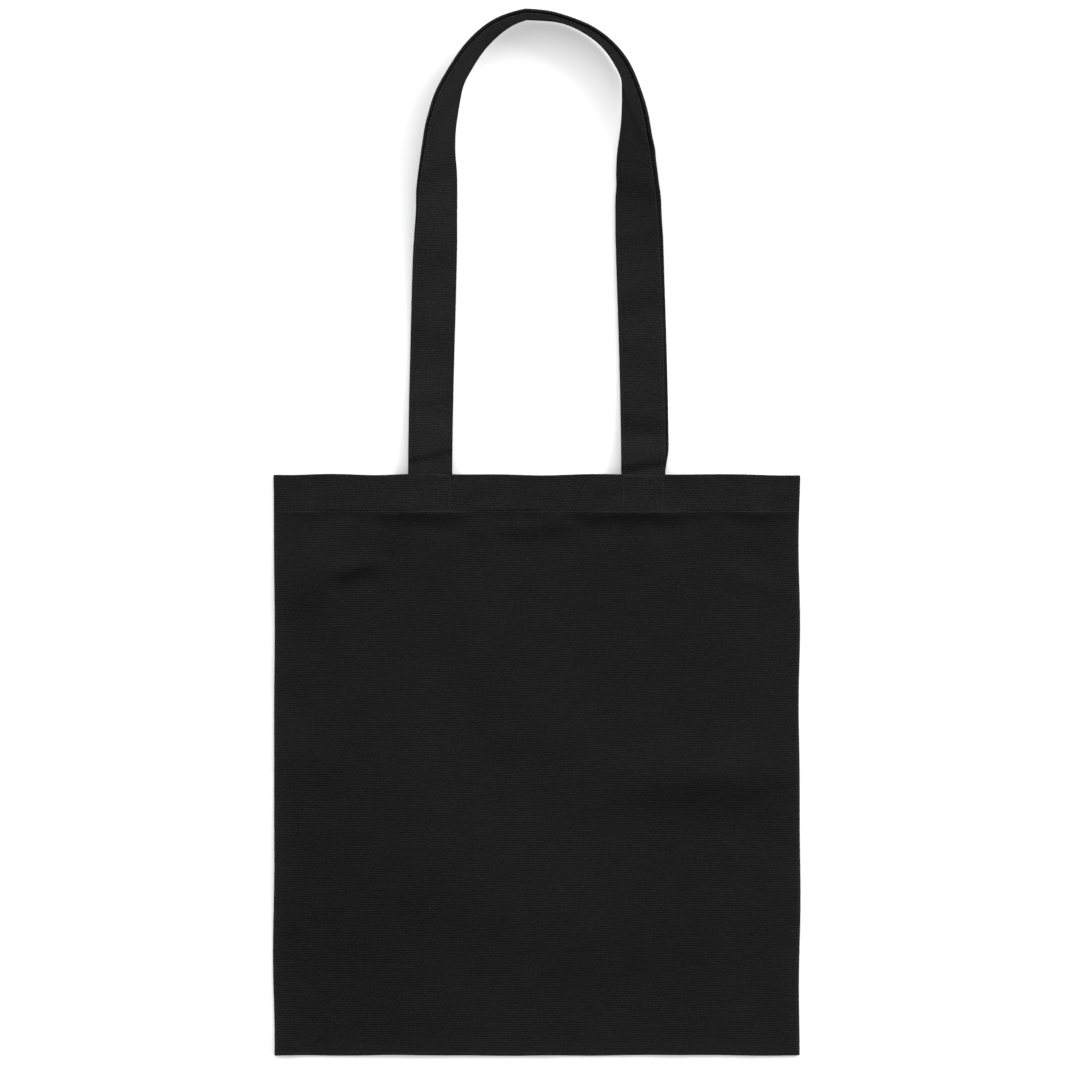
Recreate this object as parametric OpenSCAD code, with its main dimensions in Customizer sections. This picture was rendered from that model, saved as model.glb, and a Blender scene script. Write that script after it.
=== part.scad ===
// Canvas tote bag with two long shoulder handles, lying flat on its back.
// X runs across the bag, Y from the bottom seam to the handles, Z out of the front face.
// The origin is under the middle of the whole outline, on the surface that the bag lies on.

/* [Bag] */
// Width of the bag between its side seams
bag_w = 380; // [300:5:450]
// Height of the bag from the bottom seam to the mouth
bag_h = 420; // [340:5:480]
// Thickness of one layer of canvas
cloth_t = 0.8; // [0.5:0.1:1.2]
// Height of the mouth opening where the bag lies loosely flat
mouth_gap = 5; // [4:0.5:12]
// Distance from a side seam over which the front panel rises
side_rise = 70; // [40:5:80]
// Distance from the bottom seam over which the front panel rises
bottom_rise = 120; // [60:5:160]

/* [Hem and seams] */
// Depth of the turned-in facing at the mouth
hem_depth = 29; // [20:1:45]
// Distance from the mouth down to the row of hem stitches
hem_row = 27; // [18:1:42]
// Width of the seam allowance inside the bag
allowance_w = 10; // [6:1:15]
// Width of the overlocked thread edging on a seam allowance
overlock_w = 1.6; // [1:0.1:3]

/* [Handles] */
// Width of a handle
strap_w = 32; // [22:1:45]
// Distance between the two legs of a handle, from middle to middle
strap_gap = 154; // [110:2:200]
// Height of the handle's loop above the mouth
loop_rise = 335; // [260:5:360]
// How far a handle's end is sewn down inside the hem
strap_end = 28; // [15:1:28]
// Angle that the handles lean over to at the top of the loop
lean_top = 85; // [60:1:86]
// Height above the mouth at which a handle's legs begin to curve in
leg_rise = 230; // [100:5:240]
// How far the back handle shows past the front one on the right side
back_peek = 2.5; // [0:0.5:6]

/* [Thread] */
// Width of a row of stitches
thread_w = 0.6; // [0.3:0.1:1]
// How far a row of stitches stands out of the cloth
thread_h = 0.25; // [0.1:0.05:0.3]
// Distance from a handle's edge to its row of stitches
edge_row = 2; // [1:0.5:4]
// Distance from a sewn-down end's side to its row of stitches
box_row = 1.5; // [1:0.5:3]

/* [Hidden] */

canvas = "#1d1d1e";
facing = "#222223";
webbing = "#262627";
thread = "#333335";

total_len = bag_h + loop_rise;
y_bottom = -total_len / 2;
y_mouth = y_bottom + bag_h;
side_x = bag_w / 2;
strap_x = strap_gap / 2;
// A handle is a folded strip of canvas, two layers thick
strap_t = 2 * cloth_t;
// Clear space kept between cloth that moves separately
clear = 0.4;

// Heights of the layers, from the surface up
back_top = cloth_t;
back_end_under = back_top + cloth_t;
back_end_top = back_end_under + strap_t;
allowance_top = back_top + 1.75 * cloth_t;
edge_under = 3 * cloth_t + clear;
front_end_under = back_end_top + mouth_gap;
full_under = front_end_under + strap_t + cloth_t;

// A row of stitches steps up onto a strap end within this distance
step_x = 1.5;
// Steps across each rising part of the front panel
rise_steps = 8;

// The lean of each side of the loop starts and ends at these heights above the mouth
left_lean_from = 82;
left_lean_to = 377;
right_lean_from = 127;
right_lean_to = 329;
// The right shoulder of the loop is squarer than the left one
left_round = 1.8;
right_round = 2.95;
// The top of the loop hangs over to the left by this much
top_shift = 8;
// The loop is lower than a round arc by this much between its top and its shoulders
shoulder_drop = 3;
// The legs spread by this much from the loop down to the mouth
leg_spread = 7;
// The back handle comes out from behind the front one within this distance of the mouth
peek_rise = 20;
// The handles come down from the hem to the surface within these distances
front_drop = 75;
back_drop = 25;
// Free space between the two handles where one lies on the other
handle_gap = 0.8;
// Gap between the mouth and the part of a handle that swings
hinge_gap = 0.6;
leg_steps = 20;
arc_steps = 50;
// How far the back handle reaches above the front one's middle line at the top of the loop
top_reach = (strap_w / 2 + back_peek) * cos(lean_top) + (1.5 * strap_t + handle_gap) * sin(lean_top);

// Stations across a handle: its edges, both sides of its two rows of stitches, and its middle
row_w = strap_w / 2 - edge_row;
row_in = row_w - thread_w;
handle_ws = [-strap_w / 2, -row_w, -row_in, -row_in / 2, 0, row_in / 2, row_in, row_w, strap_w / 2];

function ease(u) = let(v = min(max(u, 0), 1)) v * v * (3 - 2 * v);

// Height of the front panel's underside
function under(x, y) =
    edge_under + (full_under - edge_under)
    * ease((side_x - abs(x)) / side_rise) * ease((y - y_bottom) / bottom_rise);

// Stations across and along the front panel, close together only where it rises
x_half = [for (i = [0:rise_steps]) side_x - side_rise * i / rise_steps];
x_stations = concat([for (x = x_half) -x], [for (i = [rise_steps:-1:0]) x_half[i]]);
y_stations = concat([for (i = [0:rise_steps]) y_bottom + bottom_rise * i / rise_steps], [y_mouth]);

// Stations across the hem, with the steps at both sides of each strap end
function steps_at(x) = [
    [x - strap_w / 2 - step_x, 0], [x - strap_w / 2, 1],
    [x + strap_w / 2, 1], [x + strap_w / 2 + step_x, 0]
];
hem_stations = concat(
    [for (i = [0:rise_steps]) [-x_half[i], 0]],
    steps_at(-strap_x), steps_at(strap_x),
    [for (i = [rise_steps:-1:0]) [x_half[i], 0]]
);

// Plan of the loop: how far out and how high the middle of a handle is at an angle round the arc
function arc_out(a) =
    let(n = a < 90 ? left_round : right_round,
        reach = -sign(cos(a)) * pow(abs(cos(a)), 2 / n))
    (strap_x - leg_spread) * reach - top_shift * (1 - reach * reach);
function arc_rise(a) =
    let(n = a < 90 ? left_round : right_round,
        aside = abs(cos(a)))
    leg_rise + (loop_rise - leg_rise - top_reach) * pow(abs(sin(a)), 2 / n)
    - shoulder_drop * 4 * aside * (1 - aside);

// Middle line of a handle in plan, as [distance across, height above the mouth]
function leg_point(i, side) =
    let(rise = hinge_gap + (leg_rise - hinge_gap) * pow(i / leg_steps, 1.5))
    [side * (strap_x - leg_spread * pow(rise / leg_rise, 1.6)), rise];
plan = concat(
    [for (i = [0:leg_steps - 1]) leg_point(i, -1)],
    [for (i = [0:arc_steps]) let(a = 180 * i / arc_steps) [arc_out(a), arc_rise(a)]],
    [for (i = [leg_steps - 1:-1:0]) leg_point(i, 1)]
);

// The lean of the left side passes smoothly into that of the right side round the top
function lean(p) =
    let(right_share = ease((p[0] / strap_x + 0.35) / 0.7),
        left = ease((p[1] - left_lean_from) / (left_lean_to - left_lean_from)),
        right = ease((p[1] - right_lean_from) / (right_lean_to - right_lean_from)))
    lean_top * (left + (right - left) * right_share);

function unit(v) = v / norm(v);

// Frames along a handle: [middle point, direction across its width, direction out of its face].
// lift is the height of its middle above the surface where it lies flat, and drop and
// drop_len say how it comes down from the hem. below moves it to the underside of the other
// handle, and peek moves it outwards.
function frames(lift, drop, drop_len, below, peek) = [
    for (i = [0:len(plan) - 1])
        let(p = plan[i],
            before = plan[max(i - 1, 0)],
            after = plan[min(i + 1, len(plan) - 1)],
            along = unit([after[0] - before[0], after[1] - before[1], 0]),
            out = cross([0, 0, 1], along),
            a = lean(p),
            across = out * cos(a) + [0, 0, sin(a)],
            face = [0, 0, cos(a)] - out * sin(a),
            fall = drop * (1 - ease((p[1] - hinge_gap) / drop_len)),
            shift = peek * ease(p[1] / peek_rise) * ease(i / (len(plan) - 1) * 2 - 0.3),
            mid = [p[0], y_mouth + p[1], lift * cos(a) + cloth_t * (1 - cos(a)) + strap_w / 2 * sin(a) + fall])
        [mid - face * below + across * shift, across, face]
];

function front_frames() =
    let(lift = strap_t / 2 + strap_t + handle_gap)
    frames(lift, front_end_under + strap_t / 2 - lift, front_drop, 0, 0);
function back_frames() =
    let(below = strap_t + handle_gap)
    frames(strap_t / 2 + below, back_end_under, back_drop, below, back_peek);

// A sheet of cloth over the stations xs and ys, whose underside follows under()
module risen_sheet(xs, ys, t) {
    nx = len(xs);
    ny = len(ys);
    low = [for (y = ys) for (x = xs) [x, y, under(x, y)]];
    high = [for (p = low) p + [0, 0, t]];
    n = nx * ny;
    rim = concat(
        [for (i = [0:nx - 1]) i],
        [for (j = [1:ny - 1]) j * nx + nx - 1],
        [for (i = [nx - 2:-1:0]) (ny - 1) * nx + i],
        [for (j = [ny - 2:-1:1]) j * nx]
    );
    faces = concat(
        [for (j = [0:ny - 2]) for (i = [0:nx - 2])
            let(k = j * nx + i) each [[k, k + 1, k + nx + 1], [k, k + nx + 1, k + nx]]],
        [for (j = [0:ny - 2]) for (i = [0:nx - 2])
            let(k = n + j * nx + i) each [[k, k + nx + 1, k + 1], [k, k + nx, k + nx + 1]]],
        [for (i = [0:len(rim) - 1])
            let(a = rim[i], b = rim[(i + 1) % len(rim)]) each [[a, n + a, n + b], [a, n + b, b]]]
    );
    polyhedron(points = concat(low, high), faces = faces, convexity = 6);
}

// A band swept along frames, as wide as the stations ws across it, from n0 to n1 out of its face.
// Both faces are split along the same diagonals, so that bands laid on each other stay parallel
// where they twist.
module swept_band(path, ws, n0, n1) {
    m = len(ws);
    ring = 2 * m;
    count = len(path);
    points = [for (f = path) each concat(
        [for (w = ws) f[0] + f[1] * w + f[2] * n0],
        [for (w = ws) f[0] + f[1] * w + f[2] * n1])];
    last = ring * (count - 1);
    faces = concat(
        [for (k = [0:m - 2]) each [[k, k + 1, m + k + 1], [k, m + k + 1, m + k]]],
        [for (k = [0:m - 2]) let(a = last + k) each [[a, a + m + 1, a + 1], [a, a + m, a + m + 1]]],
        [for (i = [0:count - 2]) for (k = [0:m - 2])
            let(a = ring * i + k, b = a + ring) each [[a, b, b + 1], [a, b + 1, a + 1]]],
        [for (i = [0:count - 2]) for (k = [0:m - 2])
            let(a = ring * i + m + k, b = a + ring) each [[a, b + 1, b], [a, a + 1, b + 1]]],
        [for (i = [0:count - 2])
            let(a = ring * i, b = a + ring) each [[a, a + m, b + m], [a, b + m, b]]],
        [for (i = [0:count - 2])
            let(a = ring * i + m - 1, b = a + ring) each [[a, b + m, a + m], [a, b, b + m]]]
    );
    polyhedron(points = points, faces = faces, convexity = 10);
}

// A band across the bag, from y down to y - depth, between two outlines seen from the mouth
module band(y, depth, low, high) {
    translate([0, y, 0])
        rotate([90, 0, 0])
            linear_extrude(depth)
                polygon(concat(low, [for (i = [len(high) - 1:-1:0]) high[i]]));
}

// Outlines across the mouth: a height over the front panel's underside, and over the back hem
function over_front(d) = [for (x = x_stations) [x, under(x, y_mouth) + d]];
function over_back_hem(d) = [for (s = hem_stations) [s[0], back_end_under + s[1] * strap_t + d]];

module front_panel() {
    color(canvas) risen_sheet(x_stations, y_stations, cloth_t);
}

module back_panel() {
    color(canvas) translate([-side_x, y_bottom, 0]) cube([bag_w, bag_h, back_top]);
}

module front_hem() {
    color(facing) band(y_mouth, hem_depth, over_front(-cloth_t), over_front(0));
}

module back_hem() {
    color(facing) translate([-side_x, y_mouth - hem_depth, back_top]) cube([bag_w, hem_depth, cloth_t]);
}

module handle(path) {
    color(webbing) swept_band(path, handle_ws, -strap_t / 2, strap_t / 2);
}

// The sewn-down end of a handle, on the inner face of the hem's facing
module strap_end_piece(side, z) {
    color(webbing)
        translate([side * strap_x - strap_w / 2, y_mouth - strap_end, z])
            cube([strap_w, strap_end, strap_t]);
}

// The two layers of a side seam's allowance, from the bottom seam's allowance up to the hem
module side_allowance(side) {
    x = side < 0 ? -side_x : side_x - allowance_w;
    y = y_bottom + allowance_w;
    color(facing)
        translate([x, y, back_top])
            cube([allowance_w, bag_h - hem_depth - allowance_w, allowance_top - back_top]);
}

module bottom_allowance() {
    color(facing)
        translate([-side_x, y_bottom, back_top])
            cube([bag_w, allowance_w, allowance_top - back_top]);
}

module side_overlock(side) {
    x = side < 0 ? -side_x + allowance_w : side_x - allowance_w - overlock_w;
    y = y_bottom + allowance_w + overlock_w;
    color(thread)
        translate([x, y, back_top])
            cube([overlock_w, y_mouth - hem_depth - y, allowance_top - back_top + thread_h]);
}

module bottom_overlock() {
    x = side_x - allowance_w;
    color(thread)
        translate([-x, y_bottom + allowance_w, back_top])
            cube([2 * x, overlock_w, allowance_top - back_top + thread_h]);
}

module front_hem_stitching() {
    color(thread)
        band(y_mouth - hem_row + thread_w / 2, thread_w, over_front(cloth_t), over_front(cloth_t + thread_h));
}

module back_hem_stitching() {
    color(thread)
        band(y_mouth - hem_row + thread_w / 2, thread_w, over_back_hem(0), over_back_hem(thread_h));
}

// Stitches that hold a strap end: along both its sides and in a row by the mouth
module box_stitching(side, z) {
    w = strap_w - 2 * box_row;
    low = y_mouth - hem_row + thread_w / 2;
    high = y_mouth - box_row;
    color(thread)
        translate([side * strap_x - w / 2, 0, z]) {
            translate([0, low, 0]) cube([thread_w, high - low, thread_h]);
            translate([w - thread_w, low, 0]) cube([thread_w, high - low, thread_h]);
            translate([0, high - thread_w, 0]) cube([w, thread_w, thread_h]);
        }
}

// A row of stitches along both edges of a handle, on its upper face
module handle_stitching(path) {
    color(thread)
        for (w = [-row_w, row_w - thread_w])
            swept_band(path, [w, w + thread_w], strap_t / 2, strap_t / 2 + thread_h);
}

front_panel();
back_panel();
front_hem();
back_hem();
handle(front_frames());  // front_handle
handle(back_frames());  // back_handle
strap_end_piece(-1, front_end_under);  // front_left_strap_end
strap_end_piece(1, front_end_under);  // front_right_strap_end
strap_end_piece(-1, back_end_under);  // back_left_strap_end
strap_end_piece(1, back_end_under);  // back_right_strap_end
side_allowance(-1);  // left_seam_allowance
side_allowance(1);  // right_seam_allowance
bottom_allowance();  // bottom_seam_allowance
side_overlock(-1);  // left_overlock
side_overlock(1);  // right_overlock
bottom_overlock();
front_hem_stitching();
back_hem_stitching();
box_stitching(-1, full_under + cloth_t);  // front_left_box_stitching
box_stitching(1, full_under + cloth_t);  // front_right_box_stitching
box_stitching(-1, back_end_top);  // back_left_box_stitching
box_stitching(1, back_end_top);  // back_right_box_stitching
handle_stitching(front_frames());  // front_handle_stitching
handle_stitching(back_frames());  // back_handle_stitching
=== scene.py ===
"""A black canvas tote bag lying on its back on a white floor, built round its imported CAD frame.

X runs across the bag, Y from the bottom seam to the handles, Z out of the front. All sizes are
in metres. Distances named "down" are measured from the mouth towards the bottom seam.
"""
import math

import bpy
import numpy as np
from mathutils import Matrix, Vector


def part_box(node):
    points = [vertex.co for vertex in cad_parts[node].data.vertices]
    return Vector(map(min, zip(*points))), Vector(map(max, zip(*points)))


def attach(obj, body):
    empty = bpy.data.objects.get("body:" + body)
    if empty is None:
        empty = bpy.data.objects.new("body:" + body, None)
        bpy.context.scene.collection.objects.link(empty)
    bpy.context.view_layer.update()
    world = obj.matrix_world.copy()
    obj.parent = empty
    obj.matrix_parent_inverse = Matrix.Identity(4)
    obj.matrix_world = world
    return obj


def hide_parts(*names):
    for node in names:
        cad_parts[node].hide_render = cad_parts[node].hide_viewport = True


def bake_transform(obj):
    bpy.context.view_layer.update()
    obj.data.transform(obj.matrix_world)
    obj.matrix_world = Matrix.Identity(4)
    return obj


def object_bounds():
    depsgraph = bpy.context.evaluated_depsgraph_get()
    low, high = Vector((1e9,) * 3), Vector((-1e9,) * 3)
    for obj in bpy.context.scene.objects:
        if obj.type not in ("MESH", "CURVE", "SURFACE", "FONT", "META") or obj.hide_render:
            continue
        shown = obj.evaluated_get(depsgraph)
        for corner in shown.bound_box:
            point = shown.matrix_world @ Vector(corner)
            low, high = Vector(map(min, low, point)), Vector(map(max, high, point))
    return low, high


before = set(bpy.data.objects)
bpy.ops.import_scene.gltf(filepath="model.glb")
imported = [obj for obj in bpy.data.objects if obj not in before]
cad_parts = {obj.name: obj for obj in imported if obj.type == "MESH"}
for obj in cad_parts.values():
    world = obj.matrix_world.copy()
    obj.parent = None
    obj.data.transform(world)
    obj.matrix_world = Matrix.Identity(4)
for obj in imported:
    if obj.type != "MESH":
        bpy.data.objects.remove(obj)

cad_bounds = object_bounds()

# ---------------------------------------------------------------- sizes from the frame
PANEL_LOW, PANEL_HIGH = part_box("back_panel")
SIDE = PANEL_HIGH.x
Y_BOTTOM = PANEL_LOW.y
Y_MOUTH = PANEL_HIGH.y
CLOTH = PANEL_HIGH.z - PANEL_LOW.z
FRONT_LOW, FRONT_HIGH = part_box("front_panel")
EDGE_UNDER = FRONT_LOW.z
FULL_UNDER = FRONT_HIGH.z - CLOTH
HEM_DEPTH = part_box("back_hem")[1].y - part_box("back_hem")[0].y
HEM_ROW = Y_MOUTH - (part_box("front_hem_stitching")[0].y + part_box("front_hem_stitching")[1].y) / 2
END_LOW, END_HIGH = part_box("front_right_strap_end")
STRAP_W = END_HIGH.x - END_LOW.x
STRAP_T = END_HIGH.z - END_LOW.z
STRAP_X = (END_LOW.x + END_HIGH.x) / 2
STRAP_END = END_HIGH.y - END_LOW.y
FRONT_END_Z = (END_LOW.z + END_HIGH.z) / 2
BACK_END_Z = sum(corner.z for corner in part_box("back_right_strap_end")) / 2
LOOP_RISE = cad_bounds[1].y - Y_MOUTH

# ---------------------------------------------------------------- how the bag lies
# Distances over which the front panel rises from its seams to its full height
SIDE_RISE = 0.070
BOTTOM_RISE = 0.120

# The loop of a handle, as the CAD model has it
LEG_RISE = 0.230
LEG_SPREAD = 0.007
TOP_SHIFT = 0.008
# Power of each half of the loop's outline: 2 is an ellipse and more is squarer
LEFT_ROUND = 1.8
RIGHT_ROUND = 2.95
# The shoulders are this much lower than that outline
SHOULDER_DROP = 0.003
# How far the cloth turns on edge at the top, and the heights between which each leg turns
LEAN_TOP = math.radians(85)
LEFT_LEAN = (0.082, 0.377)
RIGHT_LEAN = (0.127, 0.329)
# Heights over which the handles come down from their sewn ends to where they lie
FRONT_DROP = 0.075
BACK_DROP = 0.025
HANDLE_GAP = 0.0008
HINGE_GAP = 0.0006
# How far the back handle shows beside the front one, and the height where it is fully out
BACK_PEEK = 0.0025
PEEK_RISE = 0.020

# ---------------------------------------------------------------- cloth and thread
# Steps of a panel's grid and of a handle's frames
GRID = 0.0015
FRAME_STEP = 0.0011
# Radius of the fold at the mouth and of the rolled edges at the seams
FOLD = 0.00045
SEAM_ROLL = 0.00135
# Share by which a facing is narrower than its panel
FACING_NARROWER = 0.008
# Distance between the ribs, and between the fine threads that cross them
RIB_PITCH = 0.0016
WARP_PITCH = 0.0008
STITCH_PITCH = 0.0024
STITCH_LENGTH = 0.0020
STITCH_RADIUS = 0.00030
# How far inside a strap's edges its edge rows and its boxes of stitches lie
EDGE_ROW = 0.0023
BOX_ROW = 0.0018
# How far the rows along a handle and under the back sit down in the cloth
SUNK = 0.00016

# How the front panel's cloth stands up and dips. Its room is how far it can dip.
SLACK = 0.0010
HEM_SWELL = 0.00010
HEM_DIP = 0.0016
ROW_GROOVE = 0.00028
END_SWELL = 0.00030
SEAM_WAVE = 0.00016
SEAM_WAVE_REACH = 0.009
LEAST_ROOM = 0.0003
MOST_ROOM = 0.0043


def ease(u):
    """0 below 0, 1 above 1 and a smooth rise between."""
    u = np.clip(u, 0.0, 1.0)
    return u * u * (3.0 - 2.0 * u)


def hump(u):
    """A smooth bump of height 1 round u = 0, about 2 wide."""
    return np.exp(-u * u)


def ripple(seed, wavelength):
    """A gentle random undulation of a plane, about -1 to 1, the same every time for a seed."""
    count = 16
    random = np.random.default_rng(seed)
    turn = random.uniform(0.0, 2.0 * np.pi, count)
    wave = 2.0 * np.pi / (wavelength * random.uniform(0.7, 1.6, count))
    phase = random.uniform(0.0, 2.0 * np.pi, count)

    def height(x, y):
        x, y = np.broadcast_arrays(np.asarray(x, float), np.asarray(y, float))
        total = np.zeros(x.shape)
        for a, k, p in zip(turn, wave, phase):
            total += np.sin(k * (np.cos(a) * x + np.sin(a) * y) + p)
        return total / math.sqrt(count)

    return height


slow_ripple = ripple(3, 0.110)
mid_ripple = ripple(5, 0.038)
fine_ripple = ripple(8, 0.014)
edge_ripple = ripple(11, 0.060)
strap_ripple = ripple(17, 0.045)


def crease(x, down, start, end, height, width):
    """A step in the cloth along a line: it stands up above the line and dips below it."""
    (ax, ad), (bx, bd) = start, end
    length = math.hypot(bx - ax, bd - ad)
    ux, ud = (bx - ax) / length, (bd - ad) / length
    along = ((x - ax) * ux + (down - ad) * ud) / length
    across = ((down - ad) * ux - (x - ax) * ud) / width
    ends = np.exp(-(((along - 0.5) / 0.55) ** 4))
    return height * ends * (hump(across + 0.8) - hump(across - 0.8))


# Creases of the front panel: start and end as (x, down), height, width
PANEL_CREASES = [
    ((-0.146, 0.0765), (-0.116, 0.0675), 0.0042, 0.0070),
    ((-0.186, 0.099), (-0.146, 0.079), 0.0014, 0.0150),
    ((-0.122, 0.062), (-0.102, 0.032), 0.0010, 0.0110),
    ((-0.186, 0.0315), (-0.160, 0.0325), 0.0018, 0.0050),
    ((-0.112, 0.0315), (-0.054, 0.0335), 0.0024, 0.0065),
    ((-0.052, 0.046), (-0.036, 0.045), 0.0010, 0.0070),
    ((-0.022, 0.044), (0.026, 0.040), 0.0022, 0.0090),
    ((0.034, 0.0330), (0.108, 0.0320), 0.0034, 0.0072),
    ((0.142, 0.0320), (0.188, 0.0330), 0.0024, 0.0060),
    ((0.138, 0.064), (0.190, 0.079), -0.0013, 0.0090),
    ((0.070, 0.236), (0.192, 0.229), 0.0042, 0.0190),
    ((-0.030, 0.202), (0.006, 0.196), 0.0008, 0.0110),
    ((-0.186, 0.150), (-0.160, 0.160), 0.0008, 0.0150),
    ((-0.176, 0.216), (-0.140, 0.224), 0.0010, 0.0140),
    ((-0.120, 0.300), (-0.030, 0.322), 0.0010, 0.0260),
]

# Soft swellings of the front panel: middle as (x, down), radius across, radius along, height
PANEL_SWELLS = [
    (-0.150, 0.074, 0.034, 0.026, 0.00130),
    (-0.060, 0.110, 0.070, 0.050, 0.00100),
    (0.130, 0.205, 0.060, 0.032, 0.00120),
    (-0.165, 0.205, 0.026, 0.028, 0.00080),
    (0.060, 0.330, 0.110, 0.040, 0.00090),
]

# Paler and darker places of the front panel, given like the swellings. The broad ones are uneven dye;
# the small dark ones along the creases, in the dips under the hem and by the strap ends are painted
# shade, and the pale patch above the main crease at the upper left is painted light
PANEL_DYE_SHADE_AND_LIGHT = [
    (-0.140, 0.340, 0.085, 0.100, -0.17),
    (-0.160, 0.235, 0.040, 0.050, -0.08),
    (0.130, 0.272, 0.060, 0.040, -0.10),
    (-0.040, 0.130, 0.130, 0.080, 0.04),
    (-0.160, 0.052, 0.032, 0.018, 0.12),
    (-0.104, 0.046, 0.010, 0.020, -0.11),
    (-0.160, 0.084, 0.034, 0.016, -0.08),
    (-0.172, 0.184, 0.014, 0.012, 0.08),
    (0.160, 0.070, 0.026, 0.010, 0.12),
    (0.070, 0.033, 0.036, 0.007, -0.09),
    (-0.083, 0.033, 0.030, 0.007, -0.12),
    (-0.131, 0.072, 0.020, 0.009, -0.07),
    (0.130, 0.236, 0.050, 0.016, -0.06),
    (0.100, 0.008, 0.010, 0.008, -0.10),
    (-0.059, 0.015, 0.006, 0.012, -0.10),
]


def under(x, y):
    """Height of the front panel's underside where it is smooth, as in the CAD model."""
    rise = ease((SIDE - np.abs(x)) / SIDE_RISE) * ease((y - Y_BOTTOM) / BOTTOM_RISE)
    return EDGE_UNDER + (FULL_UNDER - EDGE_UNDER) * rise


def over_strap_end(x, down):
    """1 over a strap end inside the hem and 0 beside it."""
    beside = (np.abs(np.abs(x) - STRAP_X) - STRAP_W / 2) / 0.0016
    below = (down - STRAP_END) / 0.0016
    return ease(0.5 - beside / 2) * ease(0.5 - below / 2)


def front_relief(x, y):
    """What stands out of the smooth front panel: hem, creases, puckers and slack."""
    down = Y_MOUTH - y
    relief = SLACK * (slow_ripple(x, y) + 0.3 * mid_ripple(x, y))
    for start, end, height, width in PANEL_CREASES:
        relief = relief + crease(x, down, start, end, height, width)
    for at, at_down, wide, long, height in PANEL_SWELLS:
        relief = relief + height * hump(np.hypot((x - at) / wide, (down - at_down) / long))
    # The hem is thick and flat, the single cloth below it dips and is drawn into small puckers
    in_hem = ease((HEM_ROW + 0.001 - down) / 0.003)
    below = hump((down - HEM_ROW - 0.0048) / 0.0045)
    pucker = 0.5 + 0.4 * mid_ripple(x * 1.7, 0.0) + 0.3 * fine_ripple(x, 0.0)
    relief = relief * (1.0 - 0.55 * in_hem)
    relief = relief + in_hem * HEM_SWELL * (2.2 * fine_ripple(x * 0.6, y) + 1.0)
    relief = relief - HEM_DIP * below * (0.25 + 0.75 * pucker)
    relief = relief - ROW_GROOVE * hump((down - HEM_ROW) / 0.0009)
    relief = relief + END_SWELL * over_strap_end(x, down)
    # Little waves where the side seams and the bottom seam draw the cloth in
    side = hump((SIDE - np.abs(x)) / SEAM_WAVE_REACH)
    bottom = hump((y - Y_BOTTOM) / SEAM_WAVE_REACH)
    relief = relief + SEAM_WAVE * side * fine_ripple(0.3 * x, y)
    relief = relief + SEAM_WAVE * bottom * fine_ripple(x, 0.3 * y + 1.0)
    # Over the seam allowances there is no room for it to dip
    clear_of_side = ease((SIDE - np.abs(x) - 0.010) / 0.035)
    clear_of_bottom = ease((y - Y_BOTTOM - 0.010) / 0.035)
    room = LEAST_ROOM + (MOST_ROOM - LEAST_ROOM) * clear_of_side * clear_of_bottom
    return np.where(relief < 0.0, room * np.tanh(relief / room), relief)


# ---------------------------------------------------------------- mesh making
def new_mesh(name, points, quads, uvs=None, values=None, ends=()):
    """A smooth mesh object from numpy points and quads, with a UV and named values per point."""
    faces = [tuple(int(i) for i in f) for f in ends]
    loops = np.concatenate([quads.ravel(), np.array([i for f in faces for i in f], int)])
    sizes = [4] * len(quads) + [len(f) for f in faces]
    mesh = bpy.data.meshes.new(name)
    mesh.vertices.add(len(points))
    mesh.vertices.foreach_set("co", points.astype(np.float32).ravel())
    mesh.loops.add(len(loops))
    mesh.loops.foreach_set("vertex_index", loops.astype(np.int32))
    mesh.polygons.add(len(sizes))
    starts = np.concatenate([[0], np.cumsum(sizes)[:-1]])
    mesh.polygons.foreach_set("loop_start", starts.astype(np.int32))
    mesh.polygons.foreach_set("loop_total", np.array(sizes, np.int32))
    mesh.polygons.foreach_set("use_smooth", np.ones(len(sizes), bool))
    if uvs is not None:
        layer = mesh.uv_layers.new(name="weave")
        layer.data.foreach_set("uv", uvs[loops].astype(np.float32).ravel())
    for key, value in (values or {}).items():
        attribute = mesh.attributes.new(key, "FLOAT", "POINT")
        attribute.data.foreach_set("value", value.astype(np.float32))
    mesh.update(calc_edges=True)
    mesh.validate()
    obj = bpy.data.objects.new(name, mesh)
    bpy.context.scene.collection.objects.link(obj)
    return obj


def sheet_mesh(name, middle, uv, values):
    """A closed sheet of cloth round a grid of middle points, rows by columns."""
    rows, columns = middle.shape[:2]
    along_row = np.gradient(middle, axis=1)
    along_column = np.gradient(middle, axis=0)
    normal = np.cross(along_row, along_column)
    normal /= np.linalg.norm(normal, axis=2, keepdims=True)
    upper = (middle + normal * CLOTH / 2).reshape(-1, 3)
    lower = (middle - normal * CLOTH / 2).reshape(-1, 3)
    n = rows * columns
    index = np.arange(n).reshape(rows, columns)
    a, b, c, d = index[:-1, :-1], index[:-1, 1:], index[1:, 1:], index[1:, :-1]
    top = np.stack([a, b, c, d], axis=-1).reshape(-1, 4)
    bottom = top[:, ::-1] + n
    rim = np.concatenate([index[0, :-1], index[:-1, -1], index[-1, :0:-1], index[:0:-1, 0]])
    after = np.roll(rim, -1)
    edge = np.stack([after, rim, rim + n, after + n], axis=-1)
    quads = np.concatenate([top, bottom, edge])
    uvs = np.concatenate([uv.reshape(-1, 2)] * 2)
    both = {key: np.concatenate([value.ravel()] * 2) for key, value in values.items()}
    return new_mesh(name, np.concatenate([upper, lower]), quads, uvs, both)


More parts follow.
